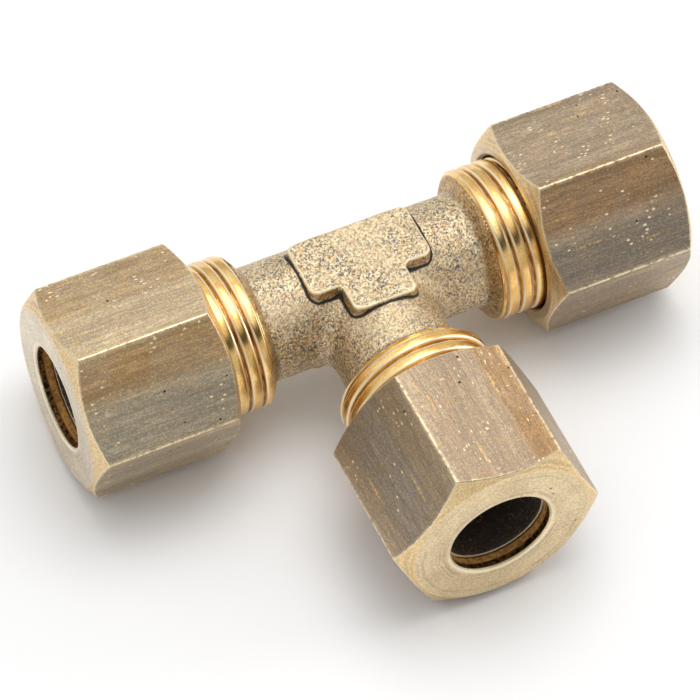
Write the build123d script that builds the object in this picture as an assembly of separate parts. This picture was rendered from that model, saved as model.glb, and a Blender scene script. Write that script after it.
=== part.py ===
from build123d import *
import os
from math import ceil, cos, radians, tan

os.makedirs("parts", exist_ok=True)

# Equal tee compression fitting for 10 mm tube: a forged tee body with three threaded arms,
# a hexagon union nut on each arm and a compression ring inside each nut.
# Millimetres. Origin where the three arm axes meet, +X and -X along the run,
# -Y along the branch, +Z out of the upper holding pad.
# s is the distance from the tee's centre outward along an arm.

# Thread, M16 x 1.5 with the blunt crests of a rolled brass thread
PITCH = 1.5
MALE_CREST_R = 7.84
MALE_ROOT_R = 7.34
MALE_ROOT_HALF = 0.06
FEMALE_CREST_R = 7.56
FEMALE_CREST_HALF = 0.05
FEMALE_ROOT_R = 7.98
FLANK = tan(radians(30))
MALE_CUT_MARGIN = 0.35
FEMALE_CUT_MARGIN = 0.04
SEGMENT_TURNS = 2
SEAM_ANGLE = 23.0
MALE_START_S = 10.9
MALE_END_S = 22.9
FEMALE_START_S = 15.65
FEMALE_END_S = 24.5

# Tolerance for picking edges and corners by position, and how far a cutting shape runs clear of the stock
TOUCH = 0.01
CLEAR = 1.0

# Tee body
BARREL_R = 5.9
SHOULDER_FOOT_S = 11.65
SHOULDER_TOP_S = 12.3
SHOULDER_ROUND_R = 0.85
ARM_END_S = 22.0
ARM_END_CHAMFER = 0.75
CROTCH_R = 1.7
FLOW_R = 4.0
SOCKET_R = 5.05
STOP_S = 15.0
CONE_MOUTH_R = 6.15
CONE_HALF_ANGLE = 12.0
PAD_Z = 6.25
PAD_BAR_HALF_X = 6.6
PAD_BAR_HALF_Y = 3.4
PAD_TONGUE_HALF_X = 3.5
PAD_TONGUE_END_Y = -6.8
PAD_CORNER_R = 1.05
PAD_NOTCH_R = 0.5
PAD_EDGE_R = 0.25

# Union nut, lengths measured inward from its outer face
NUT_FACE_S = 32.15
NUT_FLATS = 19.0
NUT_LENGTH = 15.5
NUT_FACE_R = 9.1
NUT_CHAMFER_ANGLE = 30.0
NUT_BORE_R = 5.2
NUT_LIP_CHAMFER = 0.2
NUT_SEAT_T = 1.5
NUT_CHAMBER_R = 6.75
NUT_CHAMBER_END_T = 5.0
NUT_RELIEF_R = 8.12
NUT_THREAD_T = 8.2
NUT_MOUTH_R = 8.25

# Compression ring, lengths measured inward from its outer end
RING_END_S = 30.4
RING_LENGTH = 9.65
RING_BORE_R = 5.08
RING_END_R = 5.35
RING_COLLAR_R = 6.4
RING_COLLAR_END_T = 2.4
RING_COLLAR_SLOPE = 0.3
RING_WAIST_R = 6.12
RING_TIP_LAND = 0.2
RING_TIP_R = 5.38
RING_RECESS_R = 5.34
RING_RECESS_T = (6.6, 8.2)

# Outward axis, direction the arm's angles are counted from, angle of one nut corner
# and the height of the thread groove at angle zero
ARMS = {
    "left": {"out": (-1, 0, 0), "zero": (0, 1, 0), "corner": -50.4, "phase": 0.717},
    "right": {"out": (1, 0, 0), "zero": (0, 1, 0), "corner": 48.3, "phase": 1.433},
    "branch": {"out": (0, -1, 0), "zero": (1, 0, 0), "corner": 54.4, "phase": 0.2},
}


def on_arm(shape, arm):
    """Carry a shape built up the Z axis onto an arm."""
    return Plane(origin=(0, 0, 0), x_dir=arm["zero"], z_dir=arm["out"]) * shape


def turned(points):
    """Solid of revolution about Z from (radius, height) corners."""
    outline = make_face(Plane.XZ * Polyline(*points, close=True))
    return revolve(outline, Axis.Z)


def thread_cutters(profile, start, end):
    """Right-hand helical cutters that follow on from start to end, the first beginning at SEAM_ANGLE.

    The profile is (radius, height) corners, its heights counted from the groove's centre.
    """
    count = ceil((end - start) / PITCH / SEGMENT_TURNS)
    length = (end - start) / count
    section = make_face(Plane.XZ * Polyline(*profile, close=True))
    path = Helix(pitch=PITCH, height=length, radius=profile[0][0])
    segment = sweep(section, path=path, is_frenet=True)
    step = length / PITCH * 360
    return [Pos(0, 0, start + i * length) * Rot(0, 0, SEAM_ANGLE + i * step) * segment for i in range(count)]


def in_step(start, phase):
    """Turn that brings a thread begun at SEAM_ANGLE and height start onto an arm's phase."""
    return (start - phase) / PITCH * 360 - SEAM_ANGLE


def male_cutters():
    """V-shaped helical groove of an arm, as cutters."""
    outer_r = MALE_CREST_R + MALE_CUT_MARGIN
    outer_half = MALE_ROOT_HALF + (outer_r - MALE_ROOT_R) * FLANK
    profile = [
        (MALE_ROOT_R, -MALE_ROOT_HALF),
        (outer_r, -outer_half),
        (outer_r, outer_half),
        (MALE_ROOT_R, MALE_ROOT_HALF),
    ]
    return thread_cutters(profile, MALE_START_S, MALE_END_S)


def female_cutters():
    """Helical groove of a nut, half a pitch from the arm's so that the ridges interlock."""
    inner_r = FEMALE_CREST_R - FEMALE_CUT_MARGIN
    root_half = PITCH / 2 - FEMALE_CREST_HALF - (FEMALE_ROOT_R - FEMALE_CREST_R) * FLANK
    inner_half = root_half + (FEMALE_ROOT_R - inner_r) * FLANK
    profile = [
        (FEMALE_ROOT_R, -root_half),
        (FEMALE_ROOT_R, root_half),
        (inner_r, inner_half),
        (inner_r, -inner_half),
    ]
    return thread_cutters(profile, FEMALE_START_S, FEMALE_END_S)


def arm_blank(arm):
    """Barrel, rounded shoulder and plain threaded end of one arm, solid."""
    blank = turned([
        (0, 0),
        (BARREL_R, 0),
        (BARREL_R, SHOULDER_FOOT_S),
        (MALE_CREST_R, SHOULDER_TOP_S),
        (MALE_CREST_R, ARM_END_S - ARM_END_CHAMFER),
        (MALE_CREST_R - ARM_END_CHAMFER, ARM_END_S),
        (0, ARM_END_S),
    ])
    shoulder = blank.edges().filter_by(lambda e: abs(e.center().Z - SHOULDER_TOP_S) < TOUCH)
    return on_arm(fillet(shoulder, SHOULDER_ROUND_R), arm)


def arm_bore(arm):
    """Flow passage, tube stop, tube socket and 24 degree cone of one arm."""
    cone_depth = (CONE_MOUTH_R - SOCKET_R) / tan(radians(CONE_HALF_ANGLE))
    bore = turned([
        (0, 0),
        (FLOW_R, 0),
        (FLOW_R, STOP_S),
        (SOCKET_R, STOP_S),
        (SOCKET_R, ARM_END_S - cone_depth),
        (CONE_MOUTH_R, ARM_END_S),
        (CONE_MOUTH_R, ARM_END_S + CLEAR),
        (0, ARM_END_S + CLEAR),
    ])
    # Half a turn puts the seam of the run's passage in the branch opening
    return on_arm(Rot(0, 0, 180) * bore, arm)


def pad_outline():
    """Stepped outline of the holding pads: a bar along the run with a tongue over the branch."""
    bar = Rectangle(2 * PAD_BAR_HALF_X, 2 * PAD_BAR_HALF_Y)
    tongue = Pos(0, PAD_TONGUE_END_Y / 2) * Rectangle(2 * PAD_TONGUE_HALF_X, -PAD_TONGUE_END_Y)
    outline = bar + tongue
    notches = outline.vertices().filter_by(
        lambda v: abs(abs(v.X) - PAD_TONGUE_HALF_X) < TOUCH and abs(v.Y + PAD_BAR_HALF_Y) < TOUCH
    )
    outline = fillet(notches, PAD_NOTCH_R)
    corners = outline.vertices().filter_by(
        lambda v: abs(v.X) > PAD_BAR_HALF_X - TOUCH or v.Y < PAD_TONGUE_END_Y + TOUCH
    )
    return fillet(corners, PAD_CORNER_R)


def holding_pads():
    """One pad above and one below, softened round their flat faces."""
    pads = extrude(Pos(0, 0, -PAD_Z) * pad_outline(), 2 * PAD_Z)
    rims = pads.edges().filter_by(lambda e: abs(abs(e.center().Z) - PAD_Z) < TOUCH)
    return fillet(rims, PAD_EDGE_R)


def tee_body():
    body = arm_blank(ARMS["left"]) + arm_blank(ARMS["right"]) + arm_blank(ARMS["branch"])
    crotch = body.edges().filter_by(
        lambda e: -BARREL_R < e.center().Y < 0 and abs(abs(e.center().X) + e.center().Y) < TOUCH
    )
    body = fillet(crotch, CROTCH_R)
    body += holding_pads()
    for arm in ARMS.values():
        body -= arm_bore(arm)
    for arm in ARMS.values():
        turn = in_step(MALE_START_S, arm["phase"])
        for cutter in male_cutters():
            body -= on_arm(Rot(0, 0, turn) * cutter, arm)
    return body


def union_nut(arm):
    chamfer_rise = tan(radians(NUT_CHAMFER_ANGLE))
    corner_r = NUT_FLATS / 2 / cos(radians(30))
    setback = (corner_r + CLEAR - NUT_FACE_R) * chamfer_rise
    turn = in_step(FEMALE_START_S, arm["phase"] + PITCH / 2)
    bar = extrude(RegularPolygon(corner_r, 6, rotation=arm["corner"] - turn), NUT_LENGTH)
    bar = Pos(0, 0, NUT_FACE_S - NUT_LENGTH) * bar
    inner_face = NUT_FACE_S - NUT_LENGTH
    envelope = turned([
        (0, inner_face),
        (NUT_FACE_R, inner_face),
        (corner_r + CLEAR, inner_face + setback),
        (corner_r + CLEAR, NUT_FACE_S - setback),
        (NUT_FACE_R, NUT_FACE_S),
        (0, NUT_FACE_S),
    ])
    seat_rise = NUT_CHAMBER_R - NUT_BORE_R
    relief_rise = NUT_RELIEF_R - NUT_CHAMBER_R
    mouth_rise = NUT_MOUTH_R - FEMALE_CREST_R
    hollow = turned([
        (0, NUT_FACE_S + CLEAR),
        (NUT_BORE_R + NUT_LIP_CHAMFER, NUT_FACE_S + CLEAR),
        (NUT_BORE_R + NUT_LIP_CHAMFER, NUT_FACE_S),
        (NUT_BORE_R, NUT_FACE_S - NUT_LIP_CHAMFER),
        (NUT_BORE_R, NUT_FACE_S - NUT_SEAT_T),
        (NUT_CHAMBER_R, NUT_FACE_S - NUT_SEAT_T - seat_rise),
        (NUT_CHAMBER_R, NUT_FACE_S - NUT_CHAMBER_END_T),
        (NUT_RELIEF_R, NUT_FACE_S - NUT_CHAMBER_END_T - relief_rise),
        (NUT_RELIEF_R, NUT_FACE_S - NUT_THREAD_T),
        (FEMALE_CREST_R, NUT_FACE_S - NUT_THREAD_T - (NUT_RELIEF_R - FEMALE_CREST_R)),
        (FEMALE_CREST_R, inner_face + mouth_rise),
        (NUT_MOUTH_R, inner_face),
        (NUT_MOUTH_R, inner_face - CLEAR),
        (0, inner_face - CLEAR),
    ])
    nut = (bar & envelope) - hollow
    for cutter in female_cutters():
        nut -= cutter
    return on_arm(Rot(0, 0, turn) * nut, arm)


def compression_ring(arm):
    tip_s = RING_END_S - RING_LENGTH
    cone = tan(radians(CONE_HALF_ANGLE))
    bevel = RING_COLLAR_R - RING_END_R
    waist_s = tip_s + RING_TIP_LAND + (RING_WAIST_R - RING_TIP_R) / cone
    recess = [RING_END_S - t for t in RING_RECESS_T]
    depth = RING_RECESS_R - RING_BORE_R
    ring = turned([
        (RING_BORE_R, RING_END_S),
        (RING_END_R, RING_END_S),
        (RING_COLLAR_R, RING_END_S - bevel),
        (RING_COLLAR_R, RING_END_S - RING_COLLAR_END_T),
        (RING_WAIST_R, RING_END_S - RING_COLLAR_END_T - RING_COLLAR_SLOPE),
        (RING_WAIST_R, waist_s),
        (RING_TIP_R, tip_s + RING_TIP_LAND),
        (RING_TIP_R, tip_s),
        (RING_BORE_R, tip_s),
        (RING_BORE_R, recess[1]),
        (RING_RECESS_R, recess[1] + depth),
        (RING_RECESS_R, recess[0]),
        (RING_BORE_R, recess[0]),
    ])
    return on_arm(ring, arm)


def save(shape, node):
    export_step(shape, f"parts/{node}.step")


save(tee_body(), "tee_body")
for name, arm in ARMS.items():
    save(union_nut(arm), f"nut_{name}")
    save(compression_ring(arm), f"ring_{name}")
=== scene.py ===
import math

import bpy
import numpy as np
from mathutils import Matrix, Vector


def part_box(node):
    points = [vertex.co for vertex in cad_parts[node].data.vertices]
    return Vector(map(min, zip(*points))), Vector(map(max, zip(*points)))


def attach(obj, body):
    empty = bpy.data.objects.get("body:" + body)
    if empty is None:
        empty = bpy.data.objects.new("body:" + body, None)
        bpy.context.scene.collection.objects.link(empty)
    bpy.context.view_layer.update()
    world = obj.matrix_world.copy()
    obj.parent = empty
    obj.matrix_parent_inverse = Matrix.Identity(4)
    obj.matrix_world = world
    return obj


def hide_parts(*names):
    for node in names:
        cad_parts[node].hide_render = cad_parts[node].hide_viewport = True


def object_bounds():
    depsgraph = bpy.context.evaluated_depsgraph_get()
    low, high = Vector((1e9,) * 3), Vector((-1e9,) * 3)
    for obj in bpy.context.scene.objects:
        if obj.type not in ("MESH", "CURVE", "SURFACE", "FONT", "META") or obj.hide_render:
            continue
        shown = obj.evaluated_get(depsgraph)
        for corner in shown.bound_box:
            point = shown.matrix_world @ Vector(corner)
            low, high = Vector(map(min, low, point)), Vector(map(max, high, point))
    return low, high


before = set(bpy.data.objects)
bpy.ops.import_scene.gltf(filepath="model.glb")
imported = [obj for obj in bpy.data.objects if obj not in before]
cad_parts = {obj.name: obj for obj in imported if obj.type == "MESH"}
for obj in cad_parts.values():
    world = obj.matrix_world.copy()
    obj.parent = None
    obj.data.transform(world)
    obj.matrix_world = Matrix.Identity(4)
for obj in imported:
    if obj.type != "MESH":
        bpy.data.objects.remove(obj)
cad_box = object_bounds()

# Shapes are worked out in millimetres and scaled once, when a mesh is made. Camera, lights and floor
# are in metres.
MM = 0.001

# ---------------------------------------------------------------------------------------------
# Shape of the fitting. s is the distance from the tee's centre outward along an arm.
# ---------------------------------------------------------------------------------------------
PITCH = 1.5
CREST_R = 7.84
GROOVE_DEPTH = 0.45
GROOVE_HALF = 0.25
CREST_SAG = 0.1
NUT_CREST_R = 7.56
NUT_ROOT_R = 7.98

# Half-width of a groove's flat floor, and where and how widely the painted highlight along its rims and the
# painted shade on its floor show
GROOVE_FLOOR_HALF = 0.05
RIM_OFFSET = 0.03
RIM_SPREAD = 0.085
FLOOR_SPREAD = 0.13

# Forging
BARREL_R = 5.9
FLOW_R = 4.0
CROTCH_R = 1.7
COLLAR_TOP_R = 7.66
COLLAR_FOOT_S = 11.65
COLLAR_END_S = 12.5
COLLAR_ROUND_R = 0.7
COLLAR_FILLET_R = 0.5
SHOULDER_NORMAL = (0.42, 0.91)
SHOULDER_RUN = 0.62
PAD_Z = 6.24
PAD_BAR = (6.6, 3.4)
PAD_TONGUE = (3.5, -6.8)
PAD_CORNER_R = 1.05
PAD_NOTCH_R = 0.5
PAD_EDGE_R = 0.28
PAD_FOOT_R = 0.12
PAD_LEAN = 0.09
PAD_LEAN_FROM_Z = 5.0

# Unevenness of the forging: waves per millimetre, seed and height of each layer, and how far the
# surface is sunk so that it stays inside the CAD box
UNEVEN = ((2.6, 3, 0.016), (1.15, 4, 0.02), (0.3, 9, 0.035))
UNEVEN_SINK = 0.02

# Inside of an arm's end
ARM_FACE_R = 7.08
ARM_CHAMFER = 0.75
CONE_MOUTH_R = 6.15
CONE_HALF_ANGLE = 12
SOCKET_R = 5.05
STOP_S = 15.0
SLEEVE_R = 4.02

# Outside of a nut. CHAMFER is the slope of its end cones, and END_ZONE the length at each end that
# has close rows of points.
HEX_FLATS = 19.0
HEX_FACE_R = 9.1
HEX_WORN_R = 0.2
CHAMFER = math.tan(math.radians(30))
END_ZONE = 1.3

# Inside of a nut: radii, and distances inward from its outer face
NUT_LIP_R = 5.4
NUT_BORE_R = 5.2
NUT_CHAMBER_R = 6.75
NUT_RELIEF_R = 8.12
NUT_MOUTH_R = 8.25
NUT_SEAT = 1.5
NUT_CHAMBER_END = 5.0
NUT_THREAD_END = 8.2
NUT_GROOVE_HALF = 0.3
NUT_CREST_SAG = 0.02

# Ring: radii, and distances inward from its outer end
RING_BORE_R = 5.08
RING_END_R = 5.33
RING_COLLAR_R = 6.4
RING_WAIST_R = 6.12
RING_TIP_R = 5.38
RING_RECESS_R = 5.32
RING_COLLAR_END = 2.4
RING_RECESS = (6.6, 8.2)
RING_TAPER = 3.7

# Outward axis, direction the arm's angles are counted from, angle of one nut corner and height of
# the thread groove at angle zero
ARMS = {
    "left": {"out": (-1, 0, 0), "zero": (0, 1, 0), "corner": -50.4, "phase": 0.717},
    "right": {"out": (1, 0, 0), "zero": (0, 1, 0), "corner": 48.3, "phase": 1.433},
    "branch": {"out": (0, -1, 0), "zero": (1, 0, 0), "corner": 54.4, "phase": 0.2},
}

# Dark, middle and light colour of each nut's flats, and dark and light colour of its end faces. The branch
# nut's flat colours are kept darker partly as painted shade, holding down the overhead light on its top
# flat.
NUT_LOOKS = {
    "left": ((0.57, 0.43, 0.26), (0.74, 0.57, 0.35), (0.9, 0.71, 0.44)),
    "right": ((0.41, 0.31, 0.2), (0.5, 0.38, 0.24), (0.61, 0.47, 0.31)),
    "branch": ((0.43, 0.32, 0.2), (0.5, 0.37, 0.23), (0.58, 0.44, 0.29)),
}
FACE_LOOKS = {
    "left": ((0.66, 0.57, 0.44), (0.8, 0.7, 0.53)),
    "right": ((0.6, 0.48, 0.32), (0.74, 0.6, 0.4)),
    "branch": ((0.7, 0.54, 0.31), (0.84, 0.67, 0.41)),
}

# Brown and slate darkening patches round each nut, set flat by flat: middle and half-width in degrees, and
# strength from 0 to 1
NUT_DARK_PATCHES = {
    "left": {
        "brown": [(238, 13, 1), (297, 15, 1), (160, 27, 0.2)],
        "slate": [(205, 15, 1), (157, 24, 1), (298, 14, 1)],
    },
    "right": {"brown": [(121, 15, 1), (330, 25, 1)], "slate": [(155, 14, 1), (30, 20, 1)]},
    "branch": {"brown": [(60, 9, 1), (240, 30, 1)], "slate": [(148, 16, 1), (330, 25, 1)]},
}


def arm_matrix(arm):
    """Frame of an arm: its Z runs outward and its X is where angles start."""
    out, zero = Vector(arm["out"]), Vector(arm["zero"])
    third = out.cross(zero)
    return Matrix((zero, third, out)).transposed().to_4x4()


def span(node, arm):
    """Nearest and farthest s of a CAD node along an arm, in millimetres."""
    out = Vector(arm["out"])
    ends = [corner.dot(out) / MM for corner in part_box(node)]
    return min(ends), max(ends)


# ---------------------------------------------------------------------------------------------
# Mesh helpers
# ---------------------------------------------------------------------------------------------
def mesh_object(name, points, quads, matrix=None):
    """Smooth-shaded object from points in millimetres and quads, its faces turned outward."""
    points = np.asarray(points, float)
    quads = np.asarray(quads, np.int64)
    a, b, c, d = (points[quads[:, i]] for i in range(4))
    volume = np.einsum("ij,ij->i", a, np.cross(b, c) + np.cross(c, d)).sum()
    if volume < 0:
        quads = quads[:, ::-1]
    mesh = bpy.data.meshes.new(name)
    mesh.vertices.add(len(points))
    mesh.vertices.foreach_set("co", (points * MM).ravel().astype(np.float32))
    mesh.loops.add(quads.size)
    mesh.loops.foreach_set("vertex_index", quads.ravel().astype(np.int32))
    mesh.polygons.add(len(quads))
    mesh.polygons.foreach_set("loop_start", np.arange(0, quads.size, 4, dtype=np.int32))
    mesh.update(calc_edges=True)
    mesh.validate()
    mesh.shade_smooth()
    obj = bpy.data.objects.new(name, mesh)
    bpy.context.scene.collection.objects.link(obj)
    if matrix is not None:
        obj.matrix_world = matrix
    return obj


def ring_quads(rows, columns):
    """Quads of a grid that is closed both ways."""
    i, j = np.meshgrid(np.arange(rows), np.arange(columns), indexing="ij")
    i2, j2 = (i + 1) % rows, (j + 1) % columns
    quads = [i * columns + j, i * columns + j2, i2 * columns + j2, i2 * columns + j]
    return np.stack(quads, -1).reshape(-1, 4)


def lathe(name, radii, heights, angles, matrix):
    """Closed ring-shaped solid, from grids with rows round its section and columns round its axis."""
    points = np.stack([radii * np.cos(angles), radii * np.sin(angles), heights], -1)
    return mesh_object(name, points.reshape(-1, 3), ring_quads(*radii.shape), matrix)


def add_attribute(obj, name, values):
    """Per-vertex number that a material can read."""
    layer = obj.data.attributes.new(name, "FLOAT", "POINT")
    layer.data.foreach_set("value", np.asarray(values, np.float32).ravel())


def crisp(obj, degrees=38):
    """Shade edges sharp where faces meet at more than this angle."""
    obj.data.set_sharp_from_angle(angle=math.radians(degrees))


def path(*corners, step=0.4):
    """Section line (radius, s) through corners, divided no coarser than step."""
    out = []
    for (r0, s0), (r1, s1) in zip(corners, corners[1:]):
        n = max(1, math.ceil(math.hypot(r1 - r0, s1 - s0) / step))
        out += [(r0 + (r1 - r0) * i / n, s0 + (s1 - s0) * i / n) for i in range(n)]
    return out + [corners[-1]]


def soft_min(a, b, k):
    """Smaller of two values, rounded off over a width k where they cross."""
    h = np.maximum(k - np.abs(a - b), 0) / k
    return np.minimum(a, b) - h * h * k / 4


def value_noise(p, seed):
    """Smooth random numbers from -1 to 1 at points p, one per unit of length."""
    cell = np.floor(p).astype(np.int64)
    f = p - cell
    f = f * f * (3 - 2 * f)
    total = np.zeros(len(p))
    for corner in range(8):
        offset = np.array([corner & 1, corner >> 1 & 1, corner >> 2 & 1])
        q = cell + offset
        h = q[:, 0] * 374761393 + q[:, 1] * 668265263 + q[:, 2] * 2147483647 + seed * 144665
        h = h & 0xFFFFFFFF
        h = (h ^ (h >> 13)) * 1274126177 & 0xFFFFFFFF
        h = (h ^ (h >> 16)) / 0xFFFFFFFF * 2 - 1
        weight = np.prod(np.where(offset, f, 1 - f), axis=1)
        total += h * weight
    return total


# ---------------------------------------------------------------------------------------------
# Material helpers
# ---------------------------------------------------------------------------------------------
class Shader:
    """A node material, with the few node kinds that the metals below are made of."""

    def __init__(self, name, seed=0.0):
        self.material = bpy.data.materials.new(name)
        self.material.use_nodes = True
        self.nodes = self.material.node_tree.nodes
        self.links = self.material.node_tree.links
        self.bsdf = self.nodes["Principled BSDF"]
        place = self.nodes.new("ShaderNodeMapping")
        place.inputs["Scale"].default_value = (1 / MM,) * 3
        place.inputs["Location"].default_value = (seed * 37.1, seed * 17.3, seed * 7.7)
        self.links.new(self.nodes.new("ShaderNodeTexCoord").outputs["Object"], place.inputs["Vector"])
        self.mm = place.outputs["Vector"]

    def put(self, value, socket):
        if isinstance(value, bpy.types.NodeSocket):
            self.links.new(value, socket)
        else:
            socket.default_value = value

    def stretched(self, x, y, z, turn=(0, 0, 0)):
        """Position in millimetres, turned by degrees and scaled along each axis."""
        node = self.nodes.new("ShaderNodeMapping")
        node.inputs["Scale"].default_value = (x, y, z)
        node.inputs["Rotation"].default_value = [math.radians(t) for t in turn]
        self.links.new(self.mm, node.inputs["Vector"])
        return node.outputs["Vector"]

    def noise(self, vector, scale=1.0, detail=3.0, rough=0.55, distortion=0.0):
        node = self.nodes.new("ShaderNodeTexNoise")
        self.links.new(vector, node.inputs["Vector"])
        node.inputs["Scale"].default_value = scale
        node.inputs["Detail"].default_value = detail
        node.inputs["Roughness"].default_value = rough
        node.inputs["Distortion"].default_value = distortion
        return node.outputs["Fac"]

    def spots(self, vector, scale=1.0):
        """Distance to the nearest of scattered points, and a random colour for each point's cell."""
        node = self.nodes.new("ShaderNodeTexVoronoi")
        self.links.new(vector, node.inputs["Vector"])
        node.inputs["Scale"].default_value = scale
        return node.outputs["Distance"], node.outputs["Color"]

    def attribute(self, name):
        node = self.nodes.new("ShaderNodeAttribute")
        node.attribute_name = name
        return node.outputs["Fac"]

    def level(self, value, low, high, out_low=0.0, out_high=1.0):
        """Values from low to high brought to the range out_low to out_high, and held outside it."""
        node = self.nodes.new("ShaderNodeMapRange")
        node.interpolation_type = "SMOOTHSTEP"
        self.put(value, node.inputs["Value"])
        limits = {"From Min": low, "From Max": high, "To Min": out_low, "To Max": out_high}
        for key, number in limits.items():
            node.inputs[key].default_value = number
        return node.outputs["Result"]

    def math(self, operation, a, b=0.0):
        node = self.nodes.new("ShaderNodeMath")
        node.operation = operation
        self.put(a, node.inputs[0])
        self.put(b, node.inputs[1])
        return node.outputs[0]

    def radius(self):
        """Distance from the arm's axis, in millimetres."""
        split = self.nodes.new("ShaderNodeSeparateXYZ")
        coords = self.nodes.new("ShaderNodeTexCoord").outputs["Object"]
        self.links.new(coords, split.inputs[0])
        x, y = split.outputs[0], split.outputs[1]
        square = self.math("ADD", self.math("MULTIPLY", x, x), self.math("MULTIPLY", y, y))
        return self.math("MULTIPLY", self.math("SQRT", square), 1 / MM)

    def mix(self, factor, a, b, kind="MIX"):
        node = self.nodes.new("ShaderNodeMix")
        node.data_type = "RGBA"
        node.blend_type = kind
        self.put(factor, node.inputs[0])
        self.put(a, node.inputs[6])
        self.put(b, node.inputs[7])
        return node.outputs[2]

    def ramp(self, value, *stops):
        node = self.nodes.new("ShaderNodeValToRGB")
        self.links.new(value, node.inputs["Fac"])
        elements = node.color_ramp.elements
        while len(elements) < len(stops):
            elements.new(0.5)
        for element, (position, colour) in zip(elements, stops):
            element.position, element.color = position, (*colour, 1)
        return node.outputs["Color"]

    def bump(self, height, distance, strength):
        node = self.nodes.new("ShaderNodeBump")
        self.links.new(height, node.inputs["Height"])
        node.inputs["Distance"].default_value = distance * MM
        node.inputs["Strength"].default_value = strength
        return node.outputs["Normal"]

    def done(self, colour, roughness, normal, metallic=1.0):
        self.put(colour, self.bsdf.inputs["Base Color"])
        self.put(roughness, self.bsdf.inputs["Roughness"])
        self.put(metallic, self.bsdf.inputs["Metallic"])
        self.links.new(normal, self.bsdf.inputs["Normal"])
        return self.material


def rgb(r, g, b):
    return (r, g, b, 1)


# ---------------------------------------------------------------------------------------------
# Materials
# ---------------------------------------------------------------------------------------------
def drawn_brass(name, tint, seed):
    """Dull drawn hexagon bar: streaks along the bar, cloudy tarnish, brown and slate patches round it,
    pits, nicks, and bright edges that are partly worn metal and partly painted highlight.
    """
    s = Shader(name, seed)
    fine = s.noise(s.stretched(8, 8, 0.5), 1.0, 5.0, 0.75)
    streak = s.noise(s.stretched(1.6, 1.6, 0.07), 1.0, 4.0, 0.7)
    band = s.noise(s.stretched(0.35, 0.35, 0.015), 1.0, 2.0, 0.5)
    cloud = s.noise(s.mm, 0.2, 4.0, 0.6, 0.4)
    grain = s.noise(s.mm, 5.0, 3.0, 0.8)
    warm = s.noise(s.stretched(3, 3, 1.4), 1.0, 3.0, 0.7)
    dark, mid, light = tint
    base = s.ramp(s.level(band, 0.4, 0.6), (0.0, dark), (0.5, mid), (1.0, light))
    base = s.mix(s.level(cloud, 0.42, 0.6, 0.5, 0.0), base, rgb(*dark))
    base = s.mix(s.level(streak, 0.5, 0.66, 0.0, 0.6), base, rgb(*light))
    base = s.mix(s.level(streak, 0.5, 0.34, 0.0, 0.6), base, rgb(*[c * 0.72 for c in dark]))
    base = s.mix(s.level(fine, 0.42, 0.58, 0.55, 0.0), base, rgb(*[c * 0.6 for c in dark]))
    bluish = rgb(dark[0] * 0.58, dark[1] * 0.68, dark[2] * 1.15)
    pale = rgb(*[min(c * 1.4, 1.0) for c in light])
    orange = rgb(mid[0] * 1.2, mid[1] * 0.84, mid[2] * 0.5)
    base = s.mix(s.level(grain, 0.5, 0.36, 0.0, 0.7), base, bluish)
    base = s.mix(s.level(grain, 0.53, 0.66, 0.0, 0.5), base, pale)
    base = s.mix(s.level(warm, 0.55, 0.68, 0.0, 0.35), base, orange)
    uneven = s.level(cloud, 0.36, 0.56, 0.6, 1.0)
    # Brown and slate darkening patches, set flat by flat round the nut.
    for darkened, tone in (("brown", rgb(0.93, 0.77, 0.59)), ("slate", rgb(0.79, 0.86, 0.98))):
        base = s.mix(s.math("MULTIPLY", s.attribute(darkened), uneven), base, tone, "MULTIPLY")
    pit_distance, _ = s.spots(s.mm, 0.42)
    pit = s.level(pit_distance, 0.035, 0.07, 1.0, 0.0)
    base = s.mix(pit, base, rgb(0.02, 0.015, 0.01))
    patch = s.level(s.noise(s.mm, 0.3, 2.0), 0.54, 0.6)
    nick_distance, _ = s.spots(s.stretched(2.6, 1.5, 1.1, (24, 12, 0)), 1.0)
    nick = s.math("MULTIPLY", s.level(nick_distance, 0.14, 0.25, 1.0, 0.0), patch)
    scratch_distance, _ = s.spots(s.stretched(0.2, 2.4, 1.2, (10, 30, 64)), 1.0)
    scratch = s.math("MULTIPLY", s.level(scratch_distance, 0.06, 0.12, 0.8, 0.0), s.level(fine, 0.46, 0.56))
    rub_distance, _ = s.spots(s.stretched(1.1, 1.1, 0.09), 1.0)
    rub = s.math("MULTIPLY", s.level(rub_distance, 0.1, 0.2, 0.75, 0.0), s.level(grain, 0.44, 0.54))
    base = s.mix(rub, base, rgb(0.86, 0.56, 0.22))
    # Bright marks: real nicks and scratches, and bright hex edges that are partly worn metal and partly
    # painted highlight.
    worn = s.math("MULTIPLY", s.attribute("wear_and_highlight"), s.level(s.noise(s.mm, 1.8, 3.0), 0.38, 0.52, 0.15, 1.0))
    bright = s.math("MAXIMUM", s.math("MAXIMUM", nick, scratch), worn)
    base = s.mix(bright, base, rgb(1.0, 0.84, 0.54))
    rough = s.math("SUBTRACT", s.level(fine, 0.3, 0.7, 0.5, 0.38), s.math("MULTIPLY", bright, 0.08))
    height = s.math("ADD", s.math("MULTIPLY", fine, 0.5), s.math("MULTIPLY", grain, 0.5))
    height = s.math("SUBTRACT", height, s.math("MULTIPLY", s.math("ADD", pit, nick), 0.8))
    return s.done(base, rough, s.bump(height, 0.035, 0.8))


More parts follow.
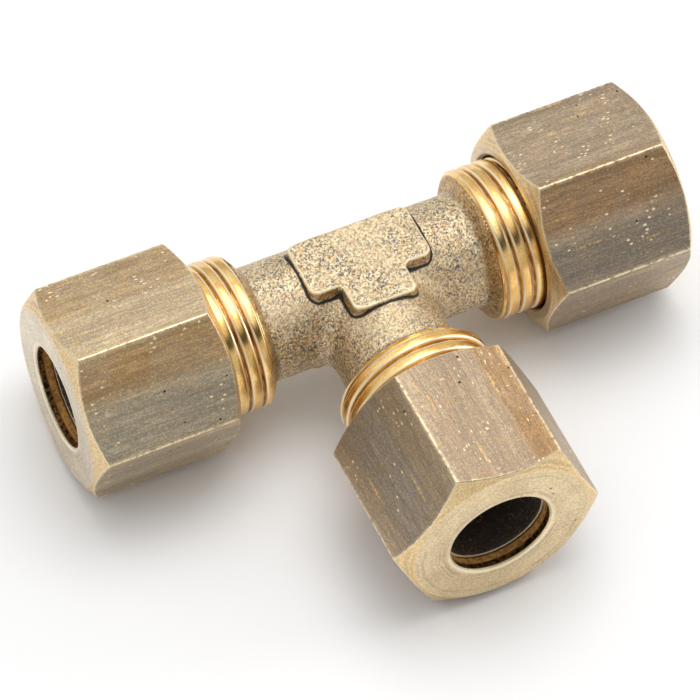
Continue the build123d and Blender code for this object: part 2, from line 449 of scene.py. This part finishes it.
def turned_brass(name, tint, seed):
    """Faced and chamfered ends of the nuts and their bores: pale gold with faint circles from turning,
    painted highlights on the chamfer crease and bore lip, and painted shade and light down the bore.
    """
    s = Shader(name, seed)
    radius = s.radius()
    wobble = s.noise(s.mm, 0.5, 3.0)
    rings = s.nodes.new("ShaderNodeTexNoise")
    rings.noise_dimensions = "1D"
    s.put(s.math("ADD", radius, s.math("MULTIPLY", wobble, 0.7)), rings.inputs["W"])
    rings.inputs["Scale"].default_value = 2.6
    rings.inputs["Detail"].default_value = 5.0
    ring = rings.outputs["Fac"]
    cloud = s.noise(s.mm, 0.3, 4.0, 0.6)
    grain = s.noise(s.mm, 5.0, 3.0, 0.8)
    shown = s.level(s.noise(s.mm, 0.25, 2.0), 0.42, 0.58, 0.1, 0.5)
    dark, light = tint
    base = s.ramp(s.level(cloud, 0.32, 0.66), (0.0, dark), (1.0, light))
    base = s.mix(s.math("MULTIPLY", s.attribute("cone"), 0.8), base, rgb(0.83, 0.58, 0.27))
    base = s.mix(s.math("MULTIPLY", s.level(ring, 0.36, 0.56, 1.0, 0.0), shown), base, rgb(0.4, 0.29, 0.17))
    base = s.mix(s.level(grain, 0.5, 0.36, 0.0, 0.5), base, rgb(0.32, 0.3, 0.28))
    base = s.mix(s.level(grain, 0.53, 0.66, 0.0, 0.55), base, rgb(1.0, 0.86, 0.58))
    pit_distance, _ = s.spots(s.mm, 0.4)
    pit = s.level(pit_distance, 0.03, 0.06, 1.0, 0.0)
    base = s.mix(pit, base, rgb(0.1, 0.07, 0.05))
    # Painted highlight: near white on the crease where flats meet chamfers and on the bore's lip.
    base = s.mix(s.attribute("wear_and_highlight"), base, rgb(1.0, 0.9, 0.66))
    streaks = s.level(s.noise(s.mm, 2.2, 4.0, 0.7), 0.42, 0.6)
    # Painted shade and light down the bore: a dark streaked wall just inside the mouth, an orange band of
    # painted light further in, then a dark interior.
    streaked_shade = s.mix(streaks, rgb(0.06, 0.035, 0.02), rgb(0.45, 0.24, 0.08))
    deep = s.attribute("deep")
    base = s.mix(s.level(deep, 0.02, 0.1), base, streaked_shade)
    band = s.mix(streaks, rgb(0.9, 0.47, 0.12), rgb(0.45, 0.23, 0.08))
    base = s.mix(s.level(deep, 0.42, 0.52), base, band)
    base = s.mix(s.level(deep, 0.94, 1.0), base, rgb(0.16, 0.1, 0.05))
    height = s.math("ADD", s.math("MULTIPLY", ring, 0.5), s.math("MULTIPLY", grain, 0.5))
    # Metallic is lowered further down the bore so its walls scatter more of the light that gets in.
    bore_metallic = s.level(deep, 0.3, 0.5, 1.0, 0.4)
    return s.done(base, s.level(grain, 0.3, 0.7, 0.42, 0.3), s.bump(height, 0.025, 0.7), bore_metallic)


def bright_brass(name, seed):
    """Freshly cut thread: polished gold with fine turning lines round it, painted highlights along the
    crest edges, and painted shade in the groove floors and deep in the sockets and nuts.
    """
    s = Shader(name, seed)
    lines = s.noise(s.stretched(0.25, 0.25, 10), 1.0, 4.0, 0.6)
    cloud = s.noise(s.mm, 0.5, 3.0, 0.5, 0.3)
    grain = s.noise(s.mm, 5.0, 3.0, 0.8)
    golds = (0.0, (0.85, 0.49, 0.15)), (0.5, (0.95, 0.6, 0.2)), (1.0, (1.0, 0.7, 0.3))
    base = s.ramp(s.level(cloud, 0.3, 0.7), *golds)
    base = s.mix(s.level(lines, 0.5, 0.3, 0.0, 0.5), base, rgb(0.5, 0.28, 0.08))
    base = s.mix(s.level(grain, 0.5, 0.36, 0.0, 0.45), base, rgb(0.45, 0.28, 0.11))
    base = s.mix(s.level(grain, 0.54, 0.68, 0.0, 0.4), base, rgb(1.0, 0.76, 0.4))
    # Painted highlight: near white along the crest edges and the thread's start edge.
    base = s.mix(s.math("MULTIPLY", s.attribute("wear_and_highlight"), 0.9), base, rgb(1.0, 0.94, 0.76))
    # Painted shade: dark brown on the groove floors and deep in the sockets and nuts.
    base = s.mix(s.attribute("deep"), base, rgb(0.2, 0.11, 0.05))
    height = s.math("ADD", s.math("MULTIPLY", lines, 0.7), s.math("MULTIPLY", grain, 0.3))
    # Rougher where the painted highlight lies.
    worn = s.math("MULTIPLY", s.attribute("wear_and_highlight"), 0.3)
    rough = s.math("ADD", s.level(grain, 0.3, 0.7, 0.25, 0.17), worn)
    return s.done(base, rough, s.bump(height, 0.014, 0.6))


def forged_brass(name, seed):
    """Grit-blasted forging: matt, every grain its own colour, painted highlight on the pad rims, painted
    shade in its creases and on its collars, browner pad walls.
    """
    s = Shader(name, seed)
    _, grit = s.spots(s.mm, 6.0)
    grain = s.noise(s.mm, 4.2, 3.0, 0.8)
    coarse = s.noise(s.mm, 1.5, 3.0, 0.6)
    cloud = s.noise(s.mm, 0.25, 3.0, 0.5)
    base = s.ramp(grit, (0.0, (0.07, 0.1, 0.13)), (0.22, (0.2, 0.21, 0.21)), (0.32, (0.58, 0.33, 0.13)),
                  (0.44, (0.6, 0.45, 0.26)), (0.7, (0.8, 0.66, 0.43)), (1.0, (1.0, 0.92, 0.7)))
    base = s.mix(s.level(grain, 0.48, 0.36, 0.0, 0.85), base, rgb(0.1, 0.11, 0.12))
    base = s.mix(s.level(grain, 0.53, 0.66, 0.0, 0.6), base, rgb(1.0, 0.84, 0.55))
    base = s.mix(s.level(cloud, 0.42, 0.6, 0.0, 0.3), base, rgb(0.8, 0.65, 0.42))
    # Painted highlight: pale gold on sharply convex edges, the pad rims.
    base = s.mix(s.level(s.attribute("curve"), 1.9, 3.3, 0.0, 0.75), base, rgb(1.0, 0.88, 0.6))
    # Browner on the pad's side walls; on the collars the same darkening is painted shade.
    base = s.mix(s.math("MULTIPLY", s.attribute("brown"), 0.9), base, rgb(0.85, 0.7, 0.52), "MULTIPLY")
    # Painted shade: near black in concave creases such as the pad feet, and along the join where the collar
    # meets the thread.
    base = s.mix(s.level(s.attribute("curve"), -0.8, -2.4, 0.0, 0.95), base, rgb(0.03, 0.035, 0.04))
    height = s.math("ADD", s.math("MULTIPLY", grain, 0.65), s.math("MULTIPLY", coarse, 0.35))
    return s.done(base, s.level(grain, 0.3, 0.7, 0.55, 0.4), s.bump(height, 0.14, 1.0))


def ring_metal(name, seed):
    """Dark compression ring with turned lines, orange scuffs and a painted highlight on its end's inner
    edge.
    """
    s = Shader(name, seed)
    lines = s.noise(s.stretched(0.3, 0.3, 8), 1.0, 4.0, 0.6)
    scuff = s.noise(s.stretched(0.8, 4.0, 1.0, (20, 40, 0)), 1.0, 5.0, 0.75)
    grain = s.noise(s.mm, 3.0, 4.0, 0.7)
    base = s.ramp(s.level(grain, 0.3, 0.7), (0.0, (0.05, 0.042, 0.034)), (1.0, (0.13, 0.1, 0.08)))
    base = s.mix(s.level(lines, 0.56, 0.68, 0.0, 0.5), base, rgb(0.34, 0.22, 0.13))
    base = s.mix(s.level(scuff, 0.56, 0.66, 0.0, 0.9), base, rgb(0.9, 0.55, 0.28))
    # Painted highlight: bright on the inner edge of the ring's end.
    base = s.mix(s.attribute("wear_and_highlight"), base, rgb(1.0, 0.85, 0.58))
    height = s.math("ADD", s.math("MULTIPLY", lines, 0.6), s.math("MULTIPLY", grain, 0.4))
    metallic = s.level(scuff, 0.5, 0.6, 0.3, 0.8)
    return s.done(base, s.level(grain, 0.3, 0.7, 0.5, 0.38), s.bump(height, 0.02, 0.6), metallic)


# ---------------------------------------------------------------------------------------------
# Nuts
# ---------------------------------------------------------------------------------------------
def nut_angles(corner):
    """Angles round the nut, close together at its corners."""
    fine = [0.12, 0.24, 0.36, 0.48, 0.62, 0.8, 1.05, 1.4, 1.9, 2.6, 3.5, 4.6]
    coarse = list(np.arange(6.0, 30.0, 1.5))
    half = fine + coarse
    around = [-a for a in reversed(half)] + [0.0] + half + [30.0]
    degrees = [corner + 60 * k + a for k in range(6) for a in around]
    return np.radians(degrees)


def hexagon(angles, corner, worn):
    """Radius of a hexagon with corners rounded to radius worn, and the distance from the nearest corner."""
    flat = HEX_FLATS / 2
    off = (np.degrees(angles) - corner + 30) % 60 - 30
    off = np.radians(off)
    straight = flat / np.cos(np.radians(30) - np.abs(off))
    centre = (flat - worn) / math.cos(math.radians(30))
    inside = np.maximum(worn**2 - (centre * np.sin(off)) ** 2, 0)
    rounded = centre * np.cos(off) + np.sqrt(inside)
    tangent = np.arctan((flat - worn) * math.tan(math.radians(30)) / flat)
    near_corner = np.abs(off) < np.radians(30) - tangent
    return np.where(near_corner, rounded, straight), np.abs(off) * flat


def thread_radius(angles, s, phase, crest, root, half, sag, corner_round=0.1):
    """Radius of a helically grooved surface, and how near each point is to the groove's edges and floor.

    half is half the groove's width and sag is how far the ridge falls away from its middle to its edges.
    """
    turn = np.degrees(angles) / 360
    u = np.abs((s - phase - PITCH * turn + PITCH / 2) % PITCH - PITCH / 2)
    slope = (half - GROOVE_FLOOR_HALF) / (crest - root)
    rise = (u - GROOVE_FLOOR_HALF) / slope
    blunt = sag * np.minimum(np.abs(u - PITCH / 2) / (PITCH / 2 - half), 1) ** 3
    top = (crest - root) - blunt
    # Masks for the painted highlight along the groove's edges (rim) and the painted shade on its floor
    # (floor).
    rim = np.exp(-(((u - half - RIM_OFFSET) / RIM_SPREAD) ** 2))
    floor = np.exp(-((u / FLOOR_SPREAD) ** 2))
    return root + np.maximum(soft_min(rise, top, corner_round), 0), rim, floor


def dark_patches(angles, patches):
    """Strength, up to 1, of patches (middle angle, half-width, strength) at angles round the nut."""
    total = np.zeros_like(angles)
    for middle, width, strength in patches:
        off = (np.degrees(angles) - middle + 180) % 360 - 180
        total += strength * np.exp(-((off / width) ** 6))
    return np.minimum(total, 1)


def build_nut(key, arm, bar, turned, thread):
    """Nut as one closed section carried round the axis: hexagon outside, bore and thread inside."""
    low, high = span(f"nut_{key}", arm)
    angles = nut_angles(arm["corner"])
    columns = len(angles)
    rng = np.random.default_rng(11 + len(key))
    end = list(np.arange(0.0, END_ZONE, 0.05))
    middle = list(np.linspace(END_ZONE, high - low - END_ZONE, 34))[1:-1]
    outer_s = [low + e for e in end] + [low + m for m in middle] + [high - e for e in reversed(end)]
    outer_s = np.array(outer_s)
    rows = len(outer_s)
    along = np.stack([outer_s * 1.3, outer_s * 0, outer_s * 0], 1)
    worn = HEX_WORN_R * (1 + 0.5 * value_noise(along, 5))
    radii, edge = hexagon(np.broadcast_to(angles, (rows, columns)), arm["corner"], worn[:, None])
    cone = HEX_FACE_R + np.minimum(outer_s - low, high - outer_s)[:, None] / CHAMFER
    on_cone = np.clip((radii - cone) / 0.12 + 0.5, 0, 1)
    crease = np.exp(-(((radii - cone) / 0.16) ** 2))
    radii = soft_min(radii, cone, 0.05)
    # Bright along the hex corners, partly worn metal and partly painted highlight, with a painted highlight
    # on the crease where the flats meet the chamfers.
    wear_and_highlight = np.clip(np.exp(-((edge / 0.15) ** 2)) * (1 - on_cone) + 0.55 * crease, 0, 1)
    wear_and_highlight *= 0.75 + 0.25 * rng.random((rows, columns))

    seat = high - NUT_SEAT
    relief = high - NUT_CHAMBER_END
    thread_end = high - NUT_THREAD_END
    face_r = HEX_FACE_R - 0.04
    face = path((face_r, high), (NUT_LIP_R + 0.03, high), step=0.35)
    bore = path((NUT_LIP_R, high - 0.02), (NUT_BORE_R, high - 0.2), step=0.1)
    bore += path((NUT_BORE_R, high - 0.3), (NUT_BORE_R, seat), step=0.3)
    bore += path(
        (NUT_BORE_R + 0.05, seat - 0.05),
        (NUT_CHAMBER_R, seat - (NUT_CHAMBER_R - NUT_BORE_R)),
        (NUT_CHAMBER_R, relief),
        (NUT_RELIEF_R, relief - (NUT_RELIEF_R - NUT_CHAMBER_R)),
        (NUT_RELIEF_R, thread_end),
        step=0.4,
    )
    threaded = path((NUT_RELIEF_R, thread_end), (NUT_RELIEF_R, low + 0.3), step=0.11)[1:]
    mouth = path((8.2, low + 0.05), (NUT_MOUTH_R + 0.02, low), (face_r, low), step=0.3)
    section = face + bore + threaded + mouth
    inner_r = np.array([r for r, _ in section])[:, None] * np.ones(columns)
    inner_s = np.array([s for _, s in section])[:, None] * np.ones(columns)
    first = len(face) + len(bore)
    zone = slice(first, first + len(threaded))
    ridge, _, _ = thread_radius(
        angles, inner_s[zone], arm["phase"], NUT_ROOT_R, NUT_CREST_R, NUT_GROOVE_HALF, NUT_CREST_SAG)
    ridge = np.maximum(ridge, NUT_MOUTH_R - np.maximum(inner_s[zone] - low, 0))
    ridge = np.maximum(ridge, NUT_RELIEF_R - np.maximum(thread_end - inner_s[zone], 0))
    inner_r[zone] = ridge

    all_r = np.vstack([radii, inner_r])
    all_s = np.vstack([outer_s[:, None] * np.ones(columns), inner_s])
    nut = lathe(f"union_nut_{key}", all_r, all_s, angles, arm_matrix(arm))
    inner_rows = len(section)
    # Painted shade and light down the bore: deep rises from 0 near the mouth to 1 inside, and the materials
    # paint a dark wall, an orange lit band, a dark interior and a dark inner thread from it.
    depth = np.clip((high - inner_s - 0.2) / 1.4, 0, 1) * (inner_r < HEX_FACE_R - 0.1)
    depth[inner_s < low + 0.02] = 0
    # Painted highlight: a bright ring on the bore's lip.
    lip_highlight = 0.8 * np.exp(-(((inner_r - NUT_LIP_R) / 0.07) ** 2)) * (inner_s > high - 0.3)
    add_attribute(nut, "wear_and_highlight", np.vstack([wear_and_highlight, lip_highlight]))
    add_attribute(nut, "cone", np.vstack([on_cone, np.zeros((inner_rows, columns))]))
    add_attribute(nut, "deep", np.vstack([np.zeros((rows, columns)), depth]))
    for colour in ("brown", "slate"):
        add_attribute(nut, colour, dark_patches(angles, NUT_DARK_PATCHES[key][colour]) * np.ones(all_r.shape))
    for material in (bar, turned, thread):
        nut.data.materials.append(material)
    slots = np.zeros((rows + inner_rows, columns), np.int32)
    slots[:rows] = (on_cone > 0.5).astype(np.int32)
    slots[rows - 1 :] = 1
    slots[rows + first - 1 : rows + first + len(threaded)] = 2
    nut.data.polygons.foreach_set("material_index", slots.ravel())
    crisp(nut)
    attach(nut, f"nut_{key}")
    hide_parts(f"nut_{key}")


# ---------------------------------------------------------------------------------------------
# Compression rings
# ---------------------------------------------------------------------------------------------
def build_ring(key, arm, metal):
    """Compression ring: tapered front, waist and collar outside, a recess in its bore."""
    tip, end = span(f"ring_{key}", arm)
    recess_near, recess_far = (end - distance for distance in RING_RECESS)
    section = path(
        (RING_BORE_R + 0.02, end),
        (RING_END_R, end),
        (RING_COLLAR_R - 0.04, end - 1.03),
        (RING_COLLAR_R, end - 1.15),
        (RING_COLLAR_R, end - RING_COLLAR_END),
        (RING_WAIST_R + 0.01, end - RING_COLLAR_END - 0.3),
        (RING_WAIST_R, tip + RING_TAPER),
        (RING_TIP_R, tip + 0.22),
        (RING_TIP_R - 0.02, tip + 0.02),
        (RING_BORE_R + 0.04, tip),
        (RING_BORE_R, tip + 0.05),
        (RING_BORE_R, recess_far),
        (RING_RECESS_R, recess_far + 0.25),
        (RING_RECESS_R, recess_near),
        (RING_BORE_R, recess_near),
        (RING_BORE_R, end - 0.05),
        step=0.35,
    )
    angles = np.linspace(0, 2 * np.pi, 144, endpoint=False)
    radii = np.array([r for r, _ in section])[:, None] * np.ones(len(angles))
    heights = np.array([s for _, s in section])[:, None] * np.ones(len(angles))
    ring = lathe(f"compression_ring_{key}", radii, heights, angles, arm_matrix(arm))
    # Painted highlight on the inner edge of the ring's end.
    end_highlight = (heights > end - 0.02) & (radii < RING_END_R + 0.03)
    add_attribute(ring, "wear_and_highlight", end_highlight.astype(float))
    ring.data.materials.append(metal)
    crisp(ring)
    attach(ring, f"ring_{key}")
    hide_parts(f"ring_{key}")


# ---------------------------------------------------------------------------------------------
# Tee body: machined arm ends
# ---------------------------------------------------------------------------------------------
def build_arm_end(key, arm, bright, arm_end):
    """Threaded end of an arm with its socket, its inner end buried in the forging's collar."""
    start = COLLAR_END_S - 0.3
    angles = np.linspace(0, 2 * np.pi, 300, endpoint=False)
    threaded = [(CREST_R, s) for s in np.arange(start + 0.15, arm_end - 0.01, 0.06)]
    cone_foot = arm_end - (CONE_MOUTH_R - SOCKET_R) / math.tan(math.radians(CONE_HALF_ANGLE))
    inside = path(
        (ARM_FACE_R, arm_end),
        (CONE_MOUTH_R + 0.05, arm_end),
        (CONE_MOUTH_R - 0.01, arm_end - 0.05),
        (SOCKET_R, cone_foot),
        (SOCKET_R, STOP_S + 0.02),
        (SOCKET_R - 0.02, STOP_S),
        (SLEEVE_R + 0.04, STOP_S),
        (SLEEVE_R, STOP_S - 0.05),
        (SLEEVE_R, start + 0.4),
        (5.0, start + 0.1),
        (6.6, start),
        (7.2, start + 0.05),
        step=0.5,
    )
    section = threaded + inside
    radii = np.array([r for r, _ in section])[:, None] * np.ones(len(angles))
    heights = np.array([s for _, s in section])[:, None] * np.ones(len(angles))
    zone = slice(0, len(threaded))
    root = CREST_R - GROOVE_DEPTH
    cut, rim, floor = thread_radius(
        angles, heights[zone], arm["phase"], CREST_R, root, GROOVE_HALF, CREST_SAG, 0.07)
    lead_in = COLLAR_TOP_R - 0.12 + np.maximum(heights[zone] - COLLAR_END_S + 0.1, 0) * 1.2
    # Painted highlight: a bright line along the thread's start edge, added to the rims' painted highlight.
    start_edge = 0.8 * np.exp(-(((heights[zone] - COLLAR_END_S - 0.13) / 0.05) ** 2))
    rim = np.maximum(rim * (heights[zone] > COLLAR_END_S + 0.2), start_edge)
    cut = soft_min(cut, lead_in, 0.05)
    cut = soft_min(cut, CREST_R - ARM_CHAMFER + (arm_end - heights[zone]), 0.1)
    radii[zone] = cut
    piece = lathe(f"threaded_end_{key}", radii, heights, angles, arm_matrix(arm))
    deep = np.zeros_like(radii)
    # Painted shade: darker further down the socket, and on the groove floors.
    deep[len(threaded) :] = np.clip((arm_end - heights[len(threaded) :]) / 3.0, 0, 1)
    deep[zone] = 0.6 * floor * (heights[zone] > COLLAR_END_S + 0.2)
    edge = np.zeros_like(radii)
    edge[zone] = rim
    add_attribute(piece, "deep", deep)
    add_attribute(piece, "wear_and_highlight", edge)
    piece.data.materials.append(bright)
    crisp(piece, 50)
    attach(piece, "body")
    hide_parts("tee_body")


# ---------------------------------------------------------------------------------------------
# Tee body: forging, as a distance field turned into a mesh
# ---------------------------------------------------------------------------------------------
def round_union(a, b, r):
    """Union of two distance fields with a circular fillet of radius r in the corner between them."""
    u = np.maximum(r - a, 0)
    v = np.maximum(r - b, 0)
    return np.maximum(r, np.minimum(a, b)) - np.sqrt(u * u + v * v)


def crotch_union(a, b, cosine, r):
    """Union with a rolling-ball fillet of radius r, for surfaces whose normals meet at the given cosine."""
    u, v = r - a, r - b
    between = (u > cosine * v) & (v > cosine * u)
    square = (u * u + v * v - 2 * cosine * u * v) / np.maximum(1 - cosine**2, 1e-4)
    return np.where(between, r - np.sqrt(np.maximum(square, 0)), np.minimum(a, b))


def round_cut(a, b, r):
    """Intersection of two distance fields with its edge rounded to radius r."""
    u = np.maximum(r + a, 0)
    v = np.maximum(r + b, 0)
    return np.minimum(-r, np.maximum(a, b)) + np.sqrt(u * u + v * v)


def box_2d(x, y, half_x, half_y, r):
    """Signed distance to a rectangle with corners of radius r."""
    qx, qy = np.abs(x) - half_x + r, np.abs(y) - half_y + r
    return np.hypot(np.maximum(qx, 0), np.maximum(qy, 0)) + np.minimum(np.maximum(qx, qy), 0) - r


def arm_field(s, across):
    """Barrel and collar of one arm, s along it and across the distance from its axis."""
    barrel = round_cut(across - BARREL_R, s - COLLAR_END_S + 0.2, 0.1)
    outward, inward = SHOULDER_NORMAL
    shoulder = (across - COLLAR_TOP_R) * outward + (COLLAR_FOOT_S + SHOULDER_RUN - s) * inward
    collar = round_cut(across - COLLAR_TOP_R, shoulder, COLLAR_ROUND_R)
    collar = round_cut(collar, s - COLLAR_END_S, 0.05)
    return round_union(barrel, collar, COLLAR_FILLET_R)


def pad_field(x, y, z):
    """Stepped pad, its sides leaning in a little towards the flat face."""
    lean = (np.abs(z) - PAD_LEAN_FROM_Z) * PAD_LEAN
    bar = box_2d(x, y, PAD_BAR[0], PAD_BAR[1], PAD_CORNER_R)
    tongue_half = -PAD_TONGUE[1] / 2
    tongue = box_2d(x, y + tongue_half, PAD_TONGUE[0], tongue_half, PAD_CORNER_R)
    outline = round_union(bar, tongue, PAD_NOTCH_R) + lean
    return round_cut(outline, np.abs(z) - PAD_Z, PAD_EDGE_R)


def forging_field(p, rough=True):
    """Signed distance to the forging's surface at points p, in millimetres, negative inside."""
    x, y, z = p[:, 0], p[:, 1], p[:, 2]
    run_r, branch_r = np.hypot(y, z), np.hypot(x, z)
    run = arm_field(np.abs(x), run_r)
    branch = np.maximum(arm_field(-y, branch_r), y)
    cosine = z * z / np.maximum(run_r * branch_r, 0.01)
    solid = crotch_union(run, branch, np.minimum(cosine, 0.999), CROTCH_R)
    solid = round_union(solid, pad_field(x, y, z), PAD_FOOT_R)
    if rough:
        for waves, seed, height in UNEVEN:
            solid = solid + height * value_noise(p * waves, seed)
        solid = solid + UNEVEN_SINK
    passage = np.maximum(FLOW_R - run_r, np.where(y < 0, FLOW_R - branch_r, -FLOW_R))
    return np.maximum(solid, passage)


def surface_net(field, low, high, step):
    """Points and quads of the surface where field is zero, in a box."""
    axes = [np.arange(a, b + step, step) for a, b in zip(low, high)]
    nx, ny, nz = (len(a) for a in axes)
    grid = np.empty((nx, ny, nz), np.float32)
    yy, zz = np.meshgrid(axes[1], axes[2], indexing="ij")
    for i, x in enumerate(axes[0]):
        p = np.stack([np.full(yy.size, x), yy.ravel(), zz.ravel()], 1)
        grid[i] = field(p, False).reshape(ny, nz)
    inside = grid < 0
    count = np.zeros((nx - 1, ny - 1, nz - 1), np.uint8)
    for dx, dy, dz in np.ndindex(2, 2, 2):
        count += inside[dx : nx - 1 + dx, dy : ny - 1 + dy, dz : nz - 1 + dz]
    mixed = (count > 0) & (count < 8)
    number = np.full(mixed.shape, -1, np.int64)
    number[mixed] = np.arange(mixed.sum())
    cells = np.argwhere(mixed)
    points = np.array(low) + (cells + 0.5) * step  # middle of each cell that the surface crosses
    quads = []
    for axis in range(3):
        other = [a for a in range(3) if a != axis]
        first = np.take(inside, range(inside.shape[axis] - 1), axis)
        second = np.take(inside, range(1, inside.shape[axis]), axis)
        edges = np.argwhere(first != second)
        keep = [(edges[:, o] > 0) & (edges[:, o] < inside.shape[o] - 1) for o in other]
        edges = edges[np.all(keep, axis=0)]
        flip = first[edges[:, 0], edges[:, 1], edges[:, 2]]
        if axis == 1:
            flip = ~flip
        corners = []
        for du, dv in ((0, 0), (1, 0), (1, 1), (0, 1)):
            c = edges.copy()
            c[:, other[0]] -= du
            c[:, other[1]] -= dv
            corners.append(number[c[:, 0], c[:, 1], c[:, 2]])
        quad = np.stack(corners, 1)
        quads.append(np.where(flip[:, None], quad, quad[:, ::-1]))
    return points, np.concatenate(quads)


def gradient(field, p, h, rough):
    """Slope of the field at points p, from values h to each side."""
    parts = []
    for axis in range(3):
        d = np.zeros(3)
        d[axis] = h
        parts.append((field(p + d, rough) - field(p - d, rough)) / (2 * h))
    return np.stack(parts, 1)


def build_forging(material):
    """Forging, with what its material needs: how sharply it curves, for painted highlight on edges and
    painted shade in creases, and where it is made browner: its pad walls, and as painted shade its collars.
    """
    edge = COLLAR_END_S + 0.3
    side = 8.1
    step = 0.15
    points, quads = surface_net(forging_field, (-edge, -edge, -side), (edge, side, side), step)
    for rough in (False, False, True, True):
        g = gradient(forging_field, points, 0.02, rough)
        g /= np.maximum(np.linalg.norm(g, axis=1), 0.3)[:, None] ** 2
        move = forging_field(points, rough)[:, None] * g
        points = points - np.clip(move, -step, step)
    h = 0.3
    centre = forging_field(points, False)
    curve = -6 * centre
    for axis in range(3):
        d = np.zeros(3)
        d[axis] = h
        curve = curve + forging_field(points + d, False) + forging_field(points - d, False)
    body = mesh_object("tee_forging", points, quads)
    reach = np.maximum(np.abs(points[:, 0]), -points[:, 1])
    # Curvature: kept from going positive on the arms, so the painted highlight stays on the pad; pushed
    # negative in a strip at each collar's end, for painted shade along its join with the thread.
    curve = np.where(reach > 9, np.minimum(curve / h**2, 0), curve / h**2)
    curve -= 2.4 * np.clip((reach - COLLAR_END_S + 0.3) / 0.25, 0, 1)
    add_attribute(body, "curve", curve)
    # Brown attribute: the pad's side walls, and the collars as painted shade.
    wall = (np.abs(points[:, 2]) > 5.3) & (np.abs(points[:, 2]) < PAD_Z - 0.2) & (reach < 7.5)
    on_wall = wall * np.clip(1 - np.abs(pad_field(*points.T)) / 0.2, 0, 1)
    add_attribute(body, "brown", np.maximum(on_wall, np.clip((reach - 11.2) / 0.6, 0, 1)))
    body.data.materials.append(material)
    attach(body, "body")
    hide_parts("tee_body")


# ---------------------------------------------------------------------------------------------
# Camera, light and floor
# ---------------------------------------------------------------------------------------------
CAMERA_AT = Vector((-0.12747, -0.26103, 0.38485))
CAMERA_AZ, CAMERA_EL, CAMERA_ROLL = -25.90, 53.68, 1.14
CAMERA_LENS = 252.4


def build_camera():
    az, el, roll = (math.radians(a) for a in (CAMERA_AZ, CAMERA_EL, CAMERA_ROLL))
    back = Vector((math.sin(az) * math.cos(el), -math.cos(az) * math.cos(el), math.sin(el)))
    level = Vector((0, 0, 1)).cross(back).normalized()
    above = back.cross(level)
    right = level * math.cos(roll) + above * math.sin(roll)
    up = above * math.cos(roll) - level * math.sin(roll)
    data = bpy.data.cameras.new("camera")
    data.lens, data.sensor_width = CAMERA_LENS, 36.0
    data.clip_start, data.clip_end = 0.01, 5.0
    camera = bpy.data.objects.new("camera", data)
    camera.matrix_world = Matrix((right, up, back)).transposed().to_4x4()
    camera.location = CAMERA_AT
    bpy.context.scene.collection.objects.link(camera)
    bpy.context.scene.camera = camera


def build_floor(height):
    data = bpy.data.meshes.new("floor")
    half = 1.5
    corners = [(-half, -half), (half, -half), (half, half), (-half, half)]
    data.from_pydata([(x, y, height) for x, y in corners], [], [(0, 1, 2, 3)])
    floor = bpy.data.objects.new("floor", data)
    bpy.context.scene.collection.objects.link(floor)
    material = bpy.data.materials.new("floor_white")
    material.use_nodes = True
    bsdf = material.node_tree.nodes["Principled BSDF"]
    bsdf.inputs["Base Color"].default_value = (0.93, 0.93, 0.93, 1)
    bsdf.inputs["Roughness"].default_value = 0.9
    data.materials.append(material)


def area_light(name, at, size, power, colour=(1, 1, 1)):
    data = bpy.data.lights.new(name, "AREA")
    data.shape, data.size, data.energy, data.color = "SQUARE", size, power, colour
    light = bpy.data.objects.new(name, data)
    light.location = at
    light.rotation_mode = "QUATERNION"
    light.rotation_quaternion = (-Vector(at)).to_track_quat("-Z", "Y")
    bpy.context.scene.collection.objects.link(light)


def build_light():
    """White light tent: bright overhead and behind, dimmer at the front, a dark slot above the front."""
    world = bpy.data.worlds.new("studio")
    bpy.context.scene.world = world
    world.use_nodes = True
    nodes, links = world.node_tree.nodes, world.node_tree.links
    split = nodes.new("ShaderNodeSeparateXYZ")
    links.new(nodes.new("ShaderNodeTexCoord").outputs["Generated"], split.inputs[0])

    def profile(*stops):
        """Grey level against the height of the direction, 0 at the horizon and 1 overhead."""
        ramp = nodes.new("ShaderNodeValToRGB")
        links.new(split.outputs[2], ramp.inputs["Fac"])
        elements = ramp.color_ramp.elements
        while len(elements) < len(stops):
            elements.new(0.5)
        for element, (height, grey) in zip(elements, stops):
            element.position, element.color = height, (grey, grey, grey, 1)
        return ramp.outputs["Color"]

    front = profile(
        (0.0, 0.5), (0.3, 0.62), (0.5, 0.66), (0.58, 0.03), (0.76, 0.03), (0.87, 1.0), (1.0, 1.0))
    back = profile((0.0, 0.5), (0.4, 0.66), (0.7, 0.9), (1.0, 1.0))
    side = nodes.new("ShaderNodeMapRange")
    side.interpolation_type = "SMOOTHSTEP"
    links.new(split.outputs[1], side.inputs["Value"])
    side.inputs["From Min"].default_value = -0.45
    side.inputs["From Max"].default_value = 0.1
    mix = nodes.new("ShaderNodeMix")
    mix.data_type = "RGBA"
    links.new(side.outputs["Result"], mix.inputs[0])
    links.new(front, mix.inputs[6])
    links.new(back, mix.inputs[7])
    links.new(mix.outputs[2], nodes["Background"].inputs["Color"])
    nodes["Background"].inputs["Strength"].default_value = 1.15
    area_light("overhead", (0.12, 0.1, 0.75), 0.5, 2.0)
    area_light("fill", (0.75, -0.1, 0.2), 0.35, 1.6)


# ---------------------------------------------------------------------------------------------
# Scene
# ---------------------------------------------------------------------------------------------
forged = forged_brass("forged_brass", 1)
metal = ring_metal("ring_metal", 2)
thread = bright_brass("bright_brass", 3)
for seed, (key, arm) in enumerate(ARMS.items(), 4):
    bar = drawn_brass(f"drawn_brass_{key}", NUT_LOOKS[key], seed)
    turned = turned_brass(f"turned_brass_{key}", FACE_LOOKS[key], seed)
    build_nut(key, arm, bar, turned, thread)
    build_ring(key, arm, metal)
    build_arm_end(key, arm, thread, span("tee_body", arm)[1])
build_forging(forged)

bpy.context.scene.view_settings.view_transform = "Standard"
build_floor(cad_box[0].z)
build_light()
build_camera()
